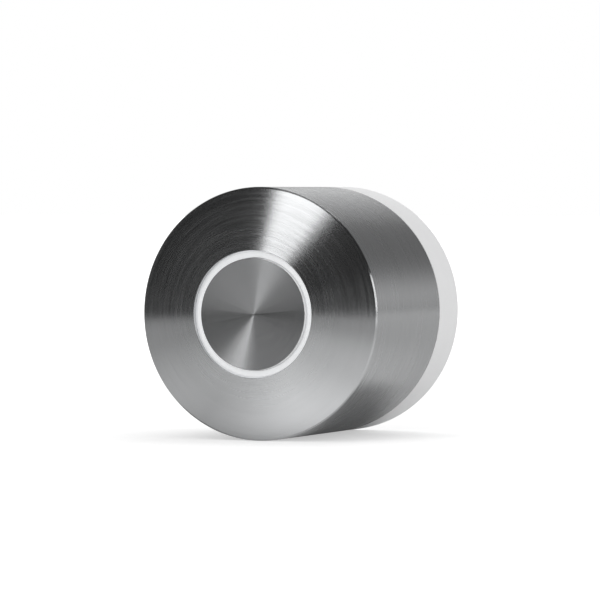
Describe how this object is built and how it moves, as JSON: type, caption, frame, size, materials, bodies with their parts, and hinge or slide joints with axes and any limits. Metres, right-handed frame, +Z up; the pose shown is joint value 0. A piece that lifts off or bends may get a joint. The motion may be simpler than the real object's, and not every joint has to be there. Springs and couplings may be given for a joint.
{
  "type": "smart door lock",
  "caption": "Round retrofit smart lock: a brushed steel turning knob with a shallow cone, light ring and push button, geared to a motor, on a white base that clamps to a door cylinder.",
  "frame": {"origin": "centre of the mounting plate's rear face on the door, midway between its two screw holes and on the lock's axis", "axes": "+Y runs into the door along the lock's axis, so the front with the button faces -Y; +X is to the right seen from the front; +Z is up, away from the tail of the profile opening"},
  "size_m": [0.057, 0.0557, 0.057],
  "materials": {
    "knob_steel": "brushed round the axis",
    "plate_steel": "fine ground",
    "shaft_steel": "ground",
    "screw_steel": "black oxide",
    "motor_steel": "plated",
    "magnet_nickel": "nickel plated",
    "magnet_dark": "sintered",
    "gear_brass": "machined",
    "bush_bronze": "sintered",
    "contact_gold": "plated",
    "gear_plastic": "natural acetal",
    "glide_plastic": "natural, slippery",
    "base_white": "smooth white",
    "dark_plastic": "fine grain",
    "cradle_plastic": "fine grain",
    "cell_wrap": "shrink wrap",
    "nickel_strip": "nickel",
    "board_green": "solder mask",
    "chip_black": "moulded",
    "shield_tin": "tinned",
    "led_yellow": "phosphor",
    "guide_white": "translucent white",
    "flex_amber": "polyimide",
    "rotor_copper": "enamelled wire and laminations",
    "spring_steel": "drawn"
  },
  "bodies": {
    "lock_base": {"base_housing": "base_white", "mounting_plate": "plate_steel", "clamp_grub_screws": "screw_steel", "lock_grub_screws": "screw_steel", "spindle_rear_bush": "bush_bronze", "thrust_washer": "glide_plastic", "core_chassis": "dark_plastic", "glide_rings": "glide_plastic", "spindle_front_bearing": "bush_bronze", "idler_a_arbor": "shaft_steel", "idler_b_arbor": "shaft_steel", "standoff_screws": "screw_steel", "gearmotor_screws": "screw_steel", "gearbox_housing": "motor_steel", "motor_can": "motor_steel", "motor_magnets": "magnet_dark", "motor_end_cap": "gear_plastic", "motor_bearings": "bush_bronze", "battery_cell_1": "cell_wrap", "battery_cell_2": "cell_wrap", "battery_cell_3": "cell_wrap", "cell_cradle": "cradle_plastic", "battery_tabs": "nickel_strip", "main_board": "board_green", "board_chips": "chip_black", "radio_module": "shield_tin", "led_chips": "led_yellow", "switch_body": "chip_black", "light_guide": "guide_white", "front_cover": "dark_plastic", "front_cover_screws": "screw_steel", "angle_sensor_board": "board_green", "charge_contacts": "contact_gold", "charge_magnets": "magnet_nickel", "charge_board": "board_green", "flex_strip": "flex_amber", "button_spring": "spring_steel"},
    "knob": {"knob_shell": "knob_steel", "knob_ring_gear": "gear_brass"},
    "spindle": {"drive_spindle": "shaft_steel", "spindle_gear": "gear_brass", "sensor_magnet": "magnet_nickel", "spindle_circlip": "spring_steel"},
    "idler_a": {"idler_a_gear": "gear_plastic"},
    "idler_b": {"idler_b_gear": "gear_plastic"},
    "output": {"output_carrier": "shaft_steel", "output_pinion": "gear_brass"},
    "carrier": {"carrier_1": "shaft_steel"},
    "rotor": {"motor_rotor": "rotor_copper"},
    "button": {"button_cap": "knob_steel", "button_carrier": "dark_plastic", "switch_plunger": "gear_plastic"},
    "planet_1_1": {"planet_1_1": "gear_plastic"},
    "planet_1_2": {"planet_1_2": "gear_plastic"},
    "planet_1_3": {"planet_1_3": "gear_plastic"},
    "planet_2_1": {"planet_2_1": "gear_plastic"},
    "planet_2_2": {"planet_2_2": "gear_plastic"},
    "planet_2_3": {"planet_2_3": "gear_plastic"}
  },
  "joints": [
    {"name": "knob_turn", "type": "hinge", "parent": "lock_base", "child": "knob", "pos_m": [0, -0.032, 0], "axis": [0, -1, 0], "continuous": true},
    {"name": "spindle_turn", "type": "hinge", "parent": "lock_base", "child": "spindle", "pos_m": [0, -0.01, 0], "axis": [0, -1, 0], "continuous": true},
    {"name": "idler_a_turn", "type": "hinge", "parent": "lock_base", "child": "idler_a", "pos_m": [-0.00704, -0.014, 0.01324], "axis": [0, -1, 0], "continuous": true},
    {"name": "idler_b_turn", "type": "hinge", "parent": "lock_base", "child": "idler_b", "pos_m": [0.00137, -0.01, 0.01644], "axis": [0, -1, 0], "continuous": true},
    {"name": "output_turn", "type": "hinge", "parent": "lock_base", "child": "output", "pos_m": [0.00775, -0.015, -0.01457], "axis": [0, -1, 0], "continuous": true},
    {"name": "carrier_turn", "type": "hinge", "parent": "lock_base", "child": "carrier", "pos_m": [0.00775, -0.025, -0.01457], "axis": [0, -1, 0], "continuous": true},
    {"name": "rotor_turn", "type": "hinge", "parent": "lock_base", "child": "rotor", "pos_m": [0.00775, -0.038, -0.01457], "axis": [0, -1, 0], "continuous": true},
    {"name": "planet_2_1_turn", "type": "hinge", "parent": "output", "child": "planet_2_1", "pos_m": [0.0118, -0.023, -0.01457], "axis": [0, -1, 0], "continuous": true},
    {"name": "planet_2_2_turn", "type": "hinge", "parent": "output", "child": "planet_2_2", "pos_m": [0.00572, -0.023, -0.01106], "axis": [0, -1, 0], "continuous": true},
    {"name": "planet_2_3_turn", "type": "hinge", "parent": "output", "child": "planet_2_3", "pos_m": [0.00572, -0.023, -0.01808], "axis": [0, -1, 0], "continuous": true},
    {"name": "planet_1_1_turn", "type": "hinge", "parent": "carrier", "child": "planet_1_1", "pos_m": [0.0118, -0.028, -0.01457], "axis": [0, -1, 0], "continuous": true},
    {"name": "planet_1_2_turn", "type": "hinge", "parent": "carrier", "child": "planet_1_2", "pos_m": [0.00572, -0.028, -0.01106], "axis": [0, -1, 0], "continuous": true},
    {"name": "planet_1_3_turn", "type": "hinge", "parent": "carrier", "child": "planet_1_3", "pos_m": [0.00572, -0.028, -0.01808], "axis": [0, -1, 0], "continuous": true},
    {"name": "button_press", "type": "slide", "parent": "lock_base", "child": "button", "axis": [0, 1, 0], "range_m": [0, 0.0007], "stiffness_N_per_m": 700, "springref_m": -0.0012, "deforming": ["button_spring"]}
  ],
  "couplings": [
    {"joint": "spindle_turn", "follows": "knob_turn", "ratio": 1},
    {"joint": "idler_a_turn", "follows": "knob_turn", "ratio": 2.6667},
    {"joint": "idler_b_turn", "follows": "knob_turn", "ratio": -2.6667},
    {"joint": "output_turn", "follows": "knob_turn", "ratio": -2.6667},
    {"joint": "carrier_turn", "follows": "knob_turn", "ratio": -12},
    {"joint": "rotor_turn", "follows": "knob_turn", "ratio": -54},
    {"joint": "planet_2_1_turn", "follows": "knob_turn", "ratio": 7.4667},
    {"joint": "planet_2_2_turn", "follows": "knob_turn", "ratio": 7.4667},
    {"joint": "planet_2_3_turn", "follows": "knob_turn", "ratio": 7.4667},
    {"joint": "planet_1_1_turn", "follows": "knob_turn", "ratio": 33.6},
    {"joint": "planet_1_2_turn", "follows": "knob_turn", "ratio": 33.6},
    {"joint": "planet_1_3_turn", "follows": "knob_turn", "ratio": 33.6}
  ]
}
